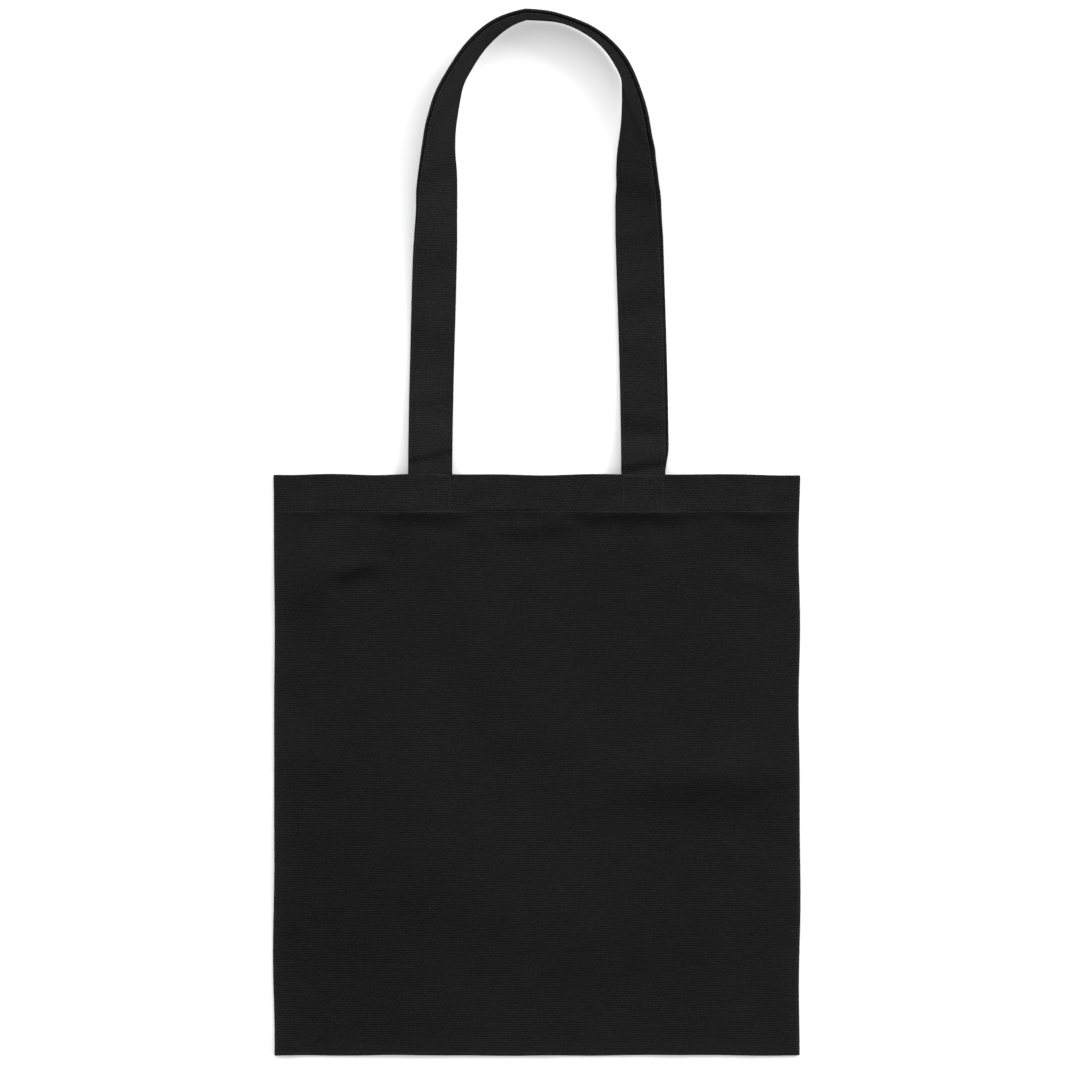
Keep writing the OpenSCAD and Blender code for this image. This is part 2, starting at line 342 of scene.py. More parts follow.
def ring_mesh(name, rings, uv=None, values=None):
    """A closed solid through closed rings of points, rings by points, with flat ends."""
    count, size = rings.shape[:2]
    index = np.arange(count * size).reshape(count, size)
    nxt = np.roll(index, -1, axis=1)
    quads = np.stack([index[:-1], nxt[:-1], nxt[1:], index[1:]], axis=-1).reshape(-1, 4)
    uvs = None if uv is None else uv.reshape(-1, 2)
    flat = {key: value.ravel() for key, value in (values or {}).items()}
    ends = [index[0][::-1], index[-1]]
    return new_mesh(name, rings.reshape(-1, 3), quads, uvs, flat, ends)


def stitches(name, places, along, out, seed):
    """One raised stitch at each place: along is its direction and out points off the cloth."""
    random = np.random.default_rng(seed)
    count = len(places)
    turn = random.normal(0.0, 0.10, count)[:, None]
    size = 1.0 + random.normal(0.0, 0.10, count)[:, None]
    side = np.cross(out, along)
    along = along * np.cos(turn) + side * np.sin(turn)
    side = np.cross(out, along)
    places = places + side * random.normal(0.0, 0.00006, count)[:, None]
    steps = np.linspace(-0.97, 0.97, 7)
    turns = np.linspace(0.0, 2.0 * np.pi, 8, endpoint=False)
    points = []
    for t in steps:
        radius = STITCH_RADIUS * (1.0 - t ** 4) ** 0.5
        rise = STITCH_RADIUS * (0.62 - 1.15 * t * t)
        for a in turns:
            offset = side * (radius * math.cos(a)) + out * (rise + 0.8 * radius * math.sin(a))
            points.append(places + size * (along * (t * STITCH_LENGTH / 2) + offset))
    points = np.stack(points, axis=1)
    size_of_one = len(steps) * len(turns)
    index = np.arange(size_of_one).reshape(len(steps), len(turns))
    nxt = np.roll(index, -1, axis=1)
    tube = np.stack([index[:-1], index[1:], nxt[1:], nxt[:-1]], axis=-1).reshape(-1, 4)
    half = len(turns) // 2
    caps = []
    for ring, flip in ((index[0], False), (index[-1], True)):
        for k in range(half - 1):
            quad = [ring[k], ring[k + 1], ring[-k - 2], ring[-k - 1]]
            caps.append(quad[::-1] if flip else quad)
    one = np.concatenate([tube, np.array(caps)])
    quads = (np.arange(count)[:, None, None] * size_of_one + one[None]).reshape(-1, 4)
    return new_mesh(name, points.reshape(-1, 3), quads)


# ---------------------------------------------------------------- the cloth panels
def columns_across():
    """Distances across a panel and how far it has turned down there, edge to edge."""
    flat = SIDE - CLOTH / 2 - SEAM_ROLL
    turn = np.linspace(0.0, np.pi / 2, 6)[1:]
    middle = np.linspace(-flat, flat, int(2 * flat / GRID))
    rolled = flat + SEAM_ROLL * np.sin(turn)
    x = np.concatenate([-rolled[::-1], middle, rolled])
    drop = SEAM_ROLL * (1.0 - np.cos(turn))
    return x, np.concatenate([drop[::-1], np.zeros(len(middle)), drop])


def rows_along():
    """Distances along a panel from the bottom seam over the mouth's fold to the facing's edge,
    how far it has turned down at the bottom and how far the fold has taken it inwards."""
    start = Y_BOTTOM + CLOTH / 2 + SEAM_ROLL
    top = Y_MOUTH - CLOTH / 2 - FOLD
    row = Y_MOUTH - HEM_ROW
    turn = np.linspace(0.0, np.pi / 2, 6)[1:][::-1]
    over = np.linspace(0.0, np.pi, 11)[1:]
    # The grid is finer by the hem's row of stitches
    below_row, above_row = row - 0.004, row + 0.004
    body = np.linspace(start, below_row, int((below_row - start) / GRID))
    by_row = np.linspace(below_row, above_row, 21)[1:]
    hem = np.linspace(above_row, top, int((top - row) / 0.0011))[1:]
    facing = np.linspace(top, Y_MOUTH - HEM_DEPTH, 22)[1:]
    rolled = start - SEAM_ROLL * np.sin(turn)
    folded = top + FOLD * np.sin(over)
    y = np.concatenate([rolled, body, by_row, hem, folded, facing])
    drop = np.zeros(len(y))
    drop[: len(turn)] = SEAM_ROLL * (1.0 - np.cos(turn))
    inward = np.zeros(len(y))
    fold_at = len(turn) + len(body) + len(by_row) + len(hem)
    inward[fold_at : fold_at + len(over)] = FOLD * (1.0 - np.cos(over))
    inward[fold_at + len(over) :] = 2.0 * FOLD
    return y, drop, inward


def outline_waves(x, y):
    """How far the panel's edges wander: sideways at the side seams, up and down elsewhere."""
    near_side = ease((np.abs(x) - SIDE + 0.030) / 0.030) * np.sign(x)
    near_mouth = ease((y - Y_MOUTH + 0.020) / 0.020)
    near_bottom = ease((Y_BOTTOM + 0.030 - y) / 0.030)
    dx = 0.00045 * near_side * edge_ripple(0.6 * y, np.sign(x))
    dy = 0.00055 * near_mouth * edge_ripple(x, 2.0)
    dy = dy + 0.00035 * near_bottom * edge_ripple(x, 5.0)
    return dx, dy


def panel_dye_shade_and_light(x, y):
    """How much paler or darker the front panel is painted than its average: uneven dye in the hem,
    paler near the side and bottom seams below it, and the listed patches of uneven dye, painted shade
    and painted light.
    """
    down = Y_MOUTH - y
    tone = 0.05 * mid_ripple(1.5 * x, 2.0 * y) * ease((HEM_ROW - down) / 0.002)
    side = hump((SIDE - np.abs(x)) / SEAM_WAVE_REACH)
    bottom = hump((y - Y_BOTTOM) / SEAM_WAVE_REACH)
    tone = tone + 0.20 * np.maximum(side, bottom) * ease((down - HEM_ROW) / 0.002)
    # The listed patches: uneven dye, painted shade in the creases and dips, and painted light above the
    # main crease
    for at, at_down, wide, long, amount in PANEL_DYE_SHADE_AND_LIGHT:
        tone = tone + amount * hump(np.hypot((x - at) / wide, (down - at_down) / long))
    return tone


def panel_wear(x, y):
    """Where folded edges are rubbed a little paler."""
    mouth = hump((Y_MOUTH - y) / 0.0011)
    side = hump((SIDE - np.abs(x)) / 0.0016)
    bottom = hump((y - Y_BOTTOM) / 0.0016)
    hem = (0.19 + 0.07 * over_strap_end(x, Y_MOUTH - y)) * ease((y - Y_MOUTH + HEM_ROW) / 0.001)
    return np.maximum(hem, 0.7 * np.maximum(np.maximum(mouth, side), bottom))


def cloth_panel(name, is_front):
    """A panel of the bag with its turned-in seam edges and its hem folded over at the mouth."""
    columns, column_drop = columns_across()
    rows, row_drop, row_inward = rows_along()
    x, y = np.meshgrid(columns, rows)
    drop = np.maximum(column_drop[None, :], row_drop[:, None])
    inward = np.broadcast_to(row_inward[:, None], x.shape)
    if is_front:
        z = under(x, y) + CLOTH / 2 + front_relief(x, y) - drop - inward
    else:
        slack = 0.00018 * (1.0 + slow_ripple(x + 0.5, y)) * ease((SIDE - np.abs(x)) / 0.02)
        z = CLOTH / 2 + np.clip(slack, 0.0, None) + drop + inward
    dx, dy = outline_waves(x, y)
    # The facing's own edges are held back inside the side seams
    x = x * (1.0 - FACING_NARROWER * np.clip(inward / (2.0 * FOLD), 0.0, 1.0))
    travel = np.where(inward > FOLD, 2.0 * Y_MOUTH - y, y)
    middle = np.stack([x + dx, y + dy, z], axis=-1)
    # The ribs of the weave run a little wavy
    travel = travel + 0.0006 * slow_ripple(x, y) + 0.0002 * mid_ripple(x, y)
    uv = np.stack([x, travel], axis=-1)
    # The front panel's tone holds uneven dye together with painted shade and painted light
    tone = panel_dye_shade_and_light(x, y) if is_front else np.zeros(x.shape)
    return sheet_mesh(name, middle, uv, {"wear": panel_wear(x, y), "tone": tone})


def follow_the_mouth(obj):
    """Bakes the piece's transform into its mesh and reads out its points."""
    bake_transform(obj)
    points = np.zeros(len(obj.data.vertices) * 3)
    obj.data.vertices.foreach_get("co", points)


# ---------------------------------------------------------------- the handles
def handle_plan():
    """Middle line of a handle in plan: distance across, height above the mouth, side."""
    sewn = np.linspace(-STRAP_END, HINGE_GAP, 24)[:-1]
    legs = np.concatenate([sewn, np.linspace(HINGE_GAP, LEG_RISE, 200)[:-1]])
    spread = STRAP_X - LEG_SPREAD * (np.clip(legs, 0.0, None) / LEG_RISE) ** 1.6
    angle = np.linspace(0.0, np.pi, 801)
    side = np.where(angle < np.pi / 2, -1.0, 1.0)
    bend = 2.0 / np.where(side < 0, LEFT_ROUND, RIGHT_ROUND)
    # How far the back handle reaches above this line at the top of the loop
    reach = (STRAP_W / 2 + BACK_PEEK) * math.cos(LEAN_TOP)
    reach += (1.5 * STRAP_T + HANDLE_GAP) * math.sin(LEAN_TOP)
    out = -np.sign(np.cos(angle)) * np.abs(np.cos(angle)) ** bend
    arc_out = (STRAP_X - LEG_SPREAD) * out - TOP_SHIFT * (1.0 - out * out)
    aside = np.abs(np.cos(angle))
    arc_rise = LEG_RISE + (LOOP_RISE - LEG_RISE - reach) * np.abs(np.sin(angle)) ** bend
    arc_rise = arc_rise - SHOULDER_DROP * 4.0 * aside * (1.0 - aside)
    across = np.concatenate([-spread, arc_out, spread[::-1]])
    rise = np.concatenate([legs, arc_rise, legs[::-1]])
    sides = np.concatenate([-np.ones(len(legs)), side, np.ones(len(legs))])
    return across, rise, sides


def sampled(values, length, at):
    """The columns of values, given at distances length, taken again at the distances at."""
    return np.stack([np.interp(at, length, column) for column in values.T], axis=1)


def handle_frames(lift, drop, drop_length, below, peek, slack):
    """Even frames along a handle: distance, middle, direction across, direction out of its face,
    height above the mouth, side of the loop, and room for the cloth to sink."""
    x, rise, side = handle_plan()
    length = np.concatenate([[0.0], np.cumsum(np.hypot(np.diff(x), np.diff(rise)))])
    at = np.linspace(0.0, length[-1], int(length[-1] / FRAME_STEP) + 1)
    x, rise, side = sampled(np.stack([x, rise, side], axis=1), length, at).T
    tangent = np.stack([np.gradient(x), np.gradient(rise), np.zeros(len(x))], axis=1)
    kernel = np.hanning(13) / np.hanning(13).sum()
    for k in (0, 1):
        tangent[:, k] = np.convolve(np.pad(tangent[:, k], 6, mode="edge"), kernel, mode="valid")
    tangent /= np.linalg.norm(tangent, axis=1, keepdims=True)
    out = np.cross([0.0, 0.0, 1.0], tangent)
    middle_share = ease((x / STRAP_X + 0.35) / 0.7)
    lean_left = ease((rise - LEFT_LEAN[0]) / (LEFT_LEAN[1] - LEFT_LEAN[0]))
    lean_right = ease((rise - RIGHT_LEAN[0]) / (RIGHT_LEAN[1] - RIGHT_LEAN[0]))
    lean = LEAN_TOP * (lean_left * (1.0 - middle_share) + lean_right * middle_share)
    up = np.array([0.0, 0.0, 1.0])
    across = out * np.cos(lean)[:, None] + up * np.sin(lean)[:, None]
    face = up * np.cos(lean)[:, None] - out * np.sin(lean)[:, None]
    fall = drop * (1.0 - ease((rise - HINGE_GAP) / drop_length))
    height = lift * np.cos(lean) + CLOTH * (1.0 - np.cos(lean)) + STRAP_W / 2 * np.sin(lean)
    height = height + fall
    progress = ease(at / at[-1] * 2.0 - 0.3)
    shift = peek * ease(rise / PEEK_RISE) * progress
    middle = np.stack([x, Y_MOUTH + rise, height], axis=1)
    middle = middle - face * below + across * shift[:, None]
    room = slack + 0.3 * fall + 0.0016 * ease((rise - 0.120) / 0.120)
    return at, middle, across, face, rise, side, room


# Creases across a handle: side, height above the mouth at the outer and the inner edge,
# depth and width. The depth also sets the shade painted along each crease
STRAP_CREASES = [
    (-1, 0.0080, 0.0160, 0.0020, 0.0022),
    (-1, 0.0400, 0.0330, -0.0007, 0.0080),
    (-1, 0.0440, 0.0520, 0.0008, 0.0080),
    (-1, 0.0950, 0.0900, 0.0007, 0.0090),
    (-1, 0.1500, 0.1580, 0.0006, 0.0090),
    (-1, 0.2050, 0.2300, 0.0009, 0.0080),
    (-1, 0.2500, 0.2850, 0.0008, 0.0080),
    (1, 0.0070, 0.0025, 0.0022, 0.0032),
    (1, 0.0320, 0.0360, 0.0022, 0.0062),
    (1, 0.0230, 0.0200, -0.0008, 0.0060),
    (1, 0.0560, 0.0500, 0.0007, 0.0060),
    (1, 0.0780, 0.0900, 0.0010, 0.0090),
    (1, 0.1270, 0.1200, 0.0014, 0.0080),
    (1, 0.1700, 0.1620, 0.0009, 0.0065),
    (1, 0.1990, 0.2090, 0.0012, 0.0065),
    (1, 0.2340, 0.2880, 0.0011, 0.0060),
]


def in_creases(w, rise, side, spread):
    """Depth of the handle's creases at a place, each one widened by spread."""
    across = w / (STRAP_W / 2)
    total = 0.0
    for crease_side, outer, inner, depth, width in STRAP_CREASES:
        line = outer + (inner - outer) * (1.0 - across) / 2.0
        here = 0.5 * (1.0 + crease_side * side)
        total = total + depth * here * hump((rise - line) / (spread * width))
    return total


def strap_relief(w, rise, side, at, room):
    """How a handle's cloth bends out of its smooth lay: slack waves and creases."""
    relief = 0.0005 * strap_ripple(at, 0.8 * w) * ease(rise / 0.01)
    relief = relief - in_creases(w, rise, side, 1.0)
    return np.where(relief < 0.0, room * np.tanh(relief / room), relief)


def strap_tone_and_crease_shade(w, rise, side):
    """How much darker a handle is low on its legs, and the shade painted along its creases."""
    low_on_leg = 0.07 * hump(rise / 0.070) * ease(rise / 0.004)
    # Painted shade along the creases: the deeper the crease, the darker
    return -low_on_leg - 170.0 * in_creases(w, rise, side, 1.3)


def strap_section():
    """Outline of a folded strap, as distances across and out of the face, going round."""
    half, thick = STRAP_W / 2, STRAP_T / 2
    inner = half - 0.0007
    # Close together by the edges, where the stitches draw a groove
    border = inner - 0.0036
    by_edge = np.linspace(border, inner, 10)
    across = np.concatenate([-by_edge[::-1], np.linspace(-border, border, 14)[1:-1], by_edge])
    row = half - EDGE_ROW
    groove = 0.00020 * hump((np.abs(across) - row) / 0.0006)
    crown = 0.00006 * (1.0 - (across / half) ** 2)
    top = thick - groove + crown - 0.00004
    edge_w = half - np.array([0.0003, 0.00005, 0.0, 0.0002, 0.0, 0.00005, 0.0003])
    edge_n = np.array([0.90, 0.55, 0.22, 0.0, -0.22, -0.55, -0.90]) * thick
    w = np.concatenate([across, edge_w, across[::-1], -edge_w[::-1]])
    n = np.concatenate([top, edge_n, -top[::-1], edge_n[::-1]])
    return w, n


def strap(name, frames):
    """A handle from one sewn-down end round the loop to the other."""
    at, middle, across, face, rise, side, room = frames
    w, n = strap_section()
    w2, at2 = np.meshgrid(w, at)
    relief = strap_relief(w2, rise[:, None], side[:, None], at2, room[:, None])
    rings = middle[:, None] + across[:, None] * w2[..., None]
    rings = rings + face[:, None] * (n[None, :] + relief)[..., None]
    uv = np.stack([w2, at2], axis=-1)
    wear = hump((STRAP_W / 2 - np.abs(w2)) / 0.0007)
    tone = strap_tone_and_crease_shade(w2, rise[:, None], side[:, None])
    # Taken the other way round, so that the faces point outwards
    values = {"wear": wear[:, ::-1], "tone": tone[:, ::-1]}
    return ring_mesh(name, rings[:, ::-1], uv[:, ::-1], values)


def strap_stitches(name, frames, seed):
    """Rows of stitches near both edges of a handle, on both of its faces."""
    at, middle, across, face, rise, side, room = frames
    count = int((at[-1] - 2.0 * STRAP_END) / STITCH_PITCH)
    # The rows begin just above the mouth
    first = STRAP_END + 0.002
    start = np.linspace(first, at[-1] - first, count)
    places, directions, outs = [], [], []
    tangent = np.gradient(middle, axis=0)
    for edge in (-1.0, 1.0):
        w = edge * (STRAP_W / 2 - EDGE_ROW)
        for facing in (1.0, -1.0):
            shifted = start + (0.0 if facing > 0 else STITCH_PITCH / 2)
            rise_here, side_here, room_here = (np.interp(shifted, at, v) for v in (rise, side, room))
            relief = strap_relief(w, rise_here, np.sign(side_here), shifted, room_here)
            normal = sampled(face, at, shifted)
            out_by = facing * (STRAP_T / 2 - SUNK) + relief
            edge_line = sampled(middle, at, shifted) + sampled(across, at, shifted) * w
            places.append(edge_line + normal * out_by[:, None])
            directions.append(sampled(tangent, at, shifted))
            outs.append(normal * facing)
    places, directions, outs = (np.concatenate(v) for v in (places, directions, outs))
    directions -= outs * (directions * outs).sum(axis=1, keepdims=True)
    directions /= np.linalg.norm(directions, axis=1, keepdims=True)
    outs /= np.linalg.norm(outs, axis=1, keepdims=True)
    return stitches(name, places, directions, outs, seed)


# ---------------------------------------------------------------- rows of stitches on the bag
def front_surface(x, y):
    """Height of the front panel's outer face."""
    return under(x, y) + CLOTH + front_relief(x, y)


def row_points(start, end):
    """Even places from start to end in plan, a stitch apart, and their direction."""
    start, end = np.array(start, float), np.array(end, float)
    length = np.linalg.norm(end - start)
    count = max(2, int(round(length / STITCH_PITCH)))
    share = (np.arange(count) + 0.5) / count
    plan = start + (end - start) * share[:, None]
    along = np.broadcast_to((end - start) / length, plan.shape)
    return plan, along


def front_stitches(name, rows, seed):
    """Stitches along rows on the outer face of the front panel."""
    plan, along = (np.concatenate(v) for v in zip(*(row_points(a, b) for a, b in rows)))
    x, y = plan.T
    step = 0.0004
    z = front_surface(x, y)
    slope_x = (front_surface(x + step, y) - front_surface(x - step, y)) / (2 * step)
    slope_y = (front_surface(x, y + step) - front_surface(x, y - step)) / (2 * step)
    along_x, along_y = along.T
    along3 = np.stack([along_x, along_y, along_x * slope_x + along_y * slope_y], axis=1)
    along3 /= np.linalg.norm(along3, axis=1, keepdims=True)
    # A stitch tilts along its row and stays level across it
    tilt_x, tilt_y = slope_x * np.abs(along_x), slope_y * np.abs(along_y)
    normal = np.stack([-tilt_x, -tilt_y, np.ones(len(x))], axis=1)
    normal -= along3 * (normal * along3).sum(axis=1, keepdims=True)
    normal /= np.linalg.norm(normal, axis=1, keepdims=True)
    dx, dy = outline_waves(x, y)
    return stitches(name, np.stack([x + dx, y + dy, z], axis=1), along3, normal, seed)


def flat_stitches(name, rows, seed):
    """Stitches along rows on level cloth, each row with its height and 1 or -1 for up or down."""
    places, directions, outs = [], [], []
    for a, b, z, way in rows:
        plan, along = row_points(a, b)
        dx, dy = outline_waves(*plan.T)
        height = np.full(len(plan), z)
        places.append(np.column_stack([plan[:, 0] + dx, plan[:, 1] + dy, height]))
        directions.append(np.column_stack([along, np.zeros(len(plan))]))
        outs.append(np.tile([0.0, 0.0, float(way)], (len(plan), 1)))
    return stitches(name, *(np.concatenate(v) for v in (places, directions, outs)), seed)


def box_rows(side):
    """The three rows that hold a strap end: two sides and one by the mouth."""
    left = side * STRAP_X - (STRAP_W / 2 - BOX_ROW)
    right = side * STRAP_X + (STRAP_W / 2 - BOX_ROW)
    low, high = Y_MOUTH - HEM_ROW + 0.001, Y_MOUTH - BOX_ROW
    return [((left, low), (left, high)), ((right, low), (right, high)), ((left, high), (right, high))]


def hem_rows():
    """The one row that holds a turned-in facing."""
    y = Y_MOUTH - HEM_ROW
    return [((-SIDE + 0.0025, y), (SIDE - 0.0025, y))]


# ---------------------------------------------------------------- seams inside the bag
def allowance(name, node, edge_at, seed):
    """A seam allowance: two raw layers of cloth pressed to the back panel, a little wavy."""
    low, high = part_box(node)
    upright = (high.y - low.y) > (high.x - low.x)
    long_from, long_to = (low.y, high.y) if upright else (low.x, high.x)
    wide_from, wide_to = (low.x, high.x) if upright else (low.y, high.y)
    wave = ripple(seed, 0.030)
    ends_back = 0.0015
    t = np.linspace(long_from + ends_back, long_to - ends_back, int((long_to - long_from) / 0.003))
    share = np.linspace(0.14, 1.0, 9)
    if edge_at < 0:
        across = wide_to - (wide_to - wide_from) * (1 - share)
    else:
        across = wide_from + (wide_to - wide_from) * (1 - share)
    half = (high.z - low.z) / 2 - 0.00005
    # The raw edges round off and leave a slit between the two layers
    slit = np.array([0.9, 1.0, 0.9, 0.2])
    rim = half * np.array([0.95, 0.6, 0.2, 0.0]) * 0.9
    flat = np.full(len(share), half)
    n = np.concatenate([flat, rim, -rim[::-1], -flat])
    reach = across[-1] + np.sign(across[-1] - across[0]) * 0.00035 * (slit - 1.0)
    w = np.concatenate([across, reach, reach[::-1], across[::-1]])
    t2, w2 = np.meshgrid(t, w, indexing="ij")
    inner = np.abs(w2 - across[0]) / abs(across[-1] - across[0])
    lift = 0.00016 * (1.0 + wave(t2, w2)) * inner + 0.00002
    z = (low.z + high.z) / 2 + n[None, :] + lift
    first, second = (w2, t2) if upright else (t2, w2)
    rings = np.stack([first, second, z], axis=-1)
    uv = np.stack([first, second], axis=-1)
    return ring_mesh(name, rings, uv, {"wear": 0.3 * inner})


def overlock(name, node, edge_at, seed):
    """The looping thread that wraps the raw edges of a seam allowance."""
    low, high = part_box(node)
    upright = (high.y - low.y) > (high.x - low.x)
    start, end = (low.y, high.y) if upright else (low.x, high.x)
    raw_edge = (low.x if edge_at > 0 else high.x) if upright else low.y
    pitch, per_loop = 0.0026, 14
    reach, half_height = 0.0021, 0.00098
    count = int((end - start) / pitch)
    phase = np.linspace(0.0, 2.0 * np.pi * count, count * per_loop + 1)
    wave = ripple(seed, 0.02)
    along = start + (end - start) * phase / phase[-1] + 0.0004 * np.sin(2.0 * phase)
    wide = reach + 0.0002 * wave(along, 0.0)
    inward = edge_at * wide * (0.62 - np.cos(phase)) * 0.8
    height = (low.z + high.z) / 2 + 0.00010 + half_height * np.sin(phase)
    across = raw_edge + inward
    if upright:
        path = np.stack([across, along, height], axis=1)
    else:
        path = np.stack([along, across, height], axis=1)
    return thread_tube(name, path)


def thread_tube(name, path):
    """A round thread along a path of points."""
    radius, sides = 0.00017, 6
    tangent = np.gradient(path, axis=0)
    tangent /= np.linalg.norm(tangent, axis=1, keepdims=True)
    reference = np.array([0.31, 0.17, 0.94])
    first = np.cross(tangent, reference)
    first /= np.linalg.norm(first, axis=1, keepdims=True)
    second = np.cross(tangent, first)
    turn = np.linspace(0.0, 2.0 * np.pi, sides, endpoint=False)
    ring = first[:, None] * np.cos(turn)[None, :, None]
    ring = ring + second[:, None] * np.sin(turn)[None, :, None]
    return ring_mesh(name, path[:, None] + radius * ring)


# ---------------------------------------------------------------- materials
# The two colours of a colour mix and its result, by number because their names are not unique
MIX_FIRST = 6
MIX_SECOND = 7
MIX_RESULT = 2


def node_of(tree, kind, inputs=(), **settings):
    """A shader node with its settings, and its inputs linked or set in order."""
    node = tree.nodes.new(kind)
    for key, value in settings.items():
        setattr(node, key, value)
    for socket, value in zip(node.inputs, inputs):
        if isinstance(value, bpy.types.NodeSocket):
            tree.links.new(value, socket)
        else:
            socket.default_value = value
    return node


def maths(tree, operation, *values):
    """The result of a maths node."""
    return node_of(tree, "ShaderNodeMath", values, operation=operation).outputs[0]


def noise(tree, vector, scale, detail, rough=0.5):
    """The value of a noise texture."""
    node = node_of(tree, "ShaderNodeTexNoise", noise_dimensions="3D")
    tree.links.new(vector, node.inputs["Vector"])
    node.inputs["Scale"].default_value = scale
    node.inputs["Detail"].default_value = detail
    node.inputs["Roughness"].default_value = rough
    return node.outputs["Fac"]


def weave(tree, uv):
    """Height of a ribbed plain weave: thick threads along U, fine ones along V, over and under."""
    split = node_of(tree, "ShaderNodeSeparateXYZ", (uv,))
    u, v = split.outputs[0], split.outputs[1]
    row = maths(tree, "DIVIDE", v, RIB_PITCH)
    row_number = maths(tree, "FLOOR", row)
    rib = maths(tree, "ABSOLUTE", maths(tree, "SINE", maths(tree, "MULTIPLY", row, math.pi)))
    parity = maths(tree, "MULTIPLY", row_number, 0.5)
    column = maths(tree, "ADD", maths(tree, "DIVIDE", u, 2.0 * WARP_PITCH), parity)
    crossing = maths(tree, "ABSOLUTE", maths(tree, "SINE", maths(tree, "MULTIPLY", column, math.pi)))
    over = maths(tree, "MULTIPLY_ADD", crossing, 0.55, 0.45)
    # Every thick thread is a little uneven along its length
    along_row = maths(tree, "MULTIPLY", u, 260.0)
    row_apart = maths(tree, "MULTIPLY", row_number, 3.7)
    row_vector = node_of(tree, "ShaderNodeCombineXYZ", (along_row, row_apart))
    slub = noise(tree, row_vector.outputs[0], 1.0, 1.0)
    uneven = maths(tree, "MULTIPLY_ADD", slub, 0.9, 0.55)
    return maths(tree, "MULTIPLY", maths(tree, "MULTIPLY", rib, over), uneven)


def canvas(name, colour, worn, ribs, grains):
    """Dyed cotton canvas: weave, uneven dye, painted shade and light, thread by thread variation and
    paler folds.
    ribs and grains are how strongly the painted light and shade of the weave, paler on its crowns and
    darker in its hollows, and the fuzz of the yarn show in its tone."""
    material = bpy.data.materials.new(name)
    material.use_nodes = True
    tree = material.node_tree
    shader = tree.nodes["Principled BSDF"]
    uv = node_of(tree, "ShaderNodeUVMap", uv_map="weave").outputs[0]
    height = weave(tree, uv)
    grain = noise(tree, uv, 640.0, 2.0, 0.75)
    patch = noise(tree, uv, 16.0, 4.0, 0.55)
    streak_place = node_of(tree, "ShaderNodeVectorMath", (uv, (60.0, 520.0, 1.0)), operation="MULTIPLY")
    streak = noise(tree, streak_place.outputs[0], 1.0, 1.0)
    # The tone attribute holds uneven dye together with painted shade in creases and dips and painted
    # light
    tone = node_of(tree, "ShaderNodeAttribute", attribute_name="tone").outputs["Fac"]
    tone = maths(tree, "ADD", tone, 1.0)
    # Painted light and shade of the weave: paler on its crowns, darker in its hollows
    weave_shading = maths(tree, "MULTIPLY", maths(tree, "SUBTRACT", height, 0.42), ribs)
    tone = maths(tree, "ADD", tone, weave_shading)
    for texture, share in ((grain, grains), (streak, 0.40), (patch, 0.30)):
        change = maths(tree, "MULTIPLY", maths(tree, "SUBTRACT", texture, 0.5), share)
        tone = maths(tree, "ADD", tone, change)
    tone = maths(tree, "MAXIMUM", tone, 0.15)
    wear = node_of(tree, "ShaderNodeAttribute", attribute_name="wear").outputs["Fac"]
    rubbed = maths(tree, "MULTIPLY", wear, maths(tree, "MULTIPLY_ADD", grain, 1.2, -0.1))
    mixed = node_of(tree, "ShaderNodeMix", data_type="RGBA", clamp_factor=True)
    tree.links.new(rubbed, mixed.inputs["Factor"])
    mixed.inputs[MIX_FIRST].default_value = (*colour, 1.0)
    mixed.inputs[MIX_SECOND].default_value = (*worn, 1.0)
    cloth_colour = mixed.outputs[MIX_RESULT]
    scaled = node_of(tree, "ShaderNodeVectorMath", (cloth_colour,), operation="SCALE")
    tree.links.new(tone, scaled.inputs["Scale"])
    tree.links.new(scaled.outputs[0], shader.inputs["Base Color"])
    rough = maths(tree, "MULTIPLY_ADD", grain, 0.12, 0.82)
    tree.links.new(rough, shader.inputs["Roughness"])
    shader.inputs["Specular IOR Level"].default_value = 0.05
    relief = maths(tree, "ADD", height, maths(tree, "MULTIPLY", grain, 0.45))
    bumped = node_of(tree, "ShaderNodeBump")
    bumped.inputs["Strength"].default_value = 0.8
    bumped.inputs["Distance"].default_value = 0.00022
    tree.links.new(relief, bumped.inputs["Height"])
    tree.links.new(bumped.outputs[0], shader.inputs["Normal"])
    return material


def thread(name, colour):
    """Spun sewing thread: a fine twist and uneven tone."""
    material = bpy.data.materials.new(name)
    material.use_nodes = True
    tree = material.node_tree
    shader = tree.nodes["Principled BSDF"]
    place = node_of(tree, "ShaderNodeTexCoord").outputs["Object"]
    tone = noise(tree, place, 900.0, 2.0, 0.6)
    twist = node_of(tree, "ShaderNodeTexWave", bands_direction="DIAGONAL")
    tree.links.new(place, twist.inputs["Vector"])
    twist.inputs["Scale"].default_value = 900.0
    twist.inputs["Distortion"].default_value = 1.0
    mixed = node_of(tree, "ShaderNodeMix", data_type="RGBA")
    tree.links.new(tone, mixed.inputs["Factor"])
    mixed.inputs[MIX_FIRST].default_value = (*(0.55 * c for c in colour), 1.0)
    mixed.inputs[MIX_SECOND].default_value = (*(1.45 * c for c in colour), 1.0)
    tree.links.new(mixed.outputs[MIX_RESULT], shader.inputs["Base Color"])
    tree.links.new(maths(tree, "MULTIPLY_ADD", tone, 0.2, 0.5), shader.inputs["Roughness"])
    shader.inputs["Specular IOR Level"].default_value = 0.08
    bumped = node_of(tree, "ShaderNodeBump")
    bumped.inputs["Strength"].default_value = 0.4
    bumped.inputs["Distance"].default_value = 0.0001
    tree.links.new(twist.outputs["Fac"], bumped.inputs["Height"])
    tree.links.new(bumped.outputs[0], shader.inputs["Normal"])
    return material


def dress(obj, material):
    """Give a piece its one material."""
    obj.data.materials.append(material)
    return obj


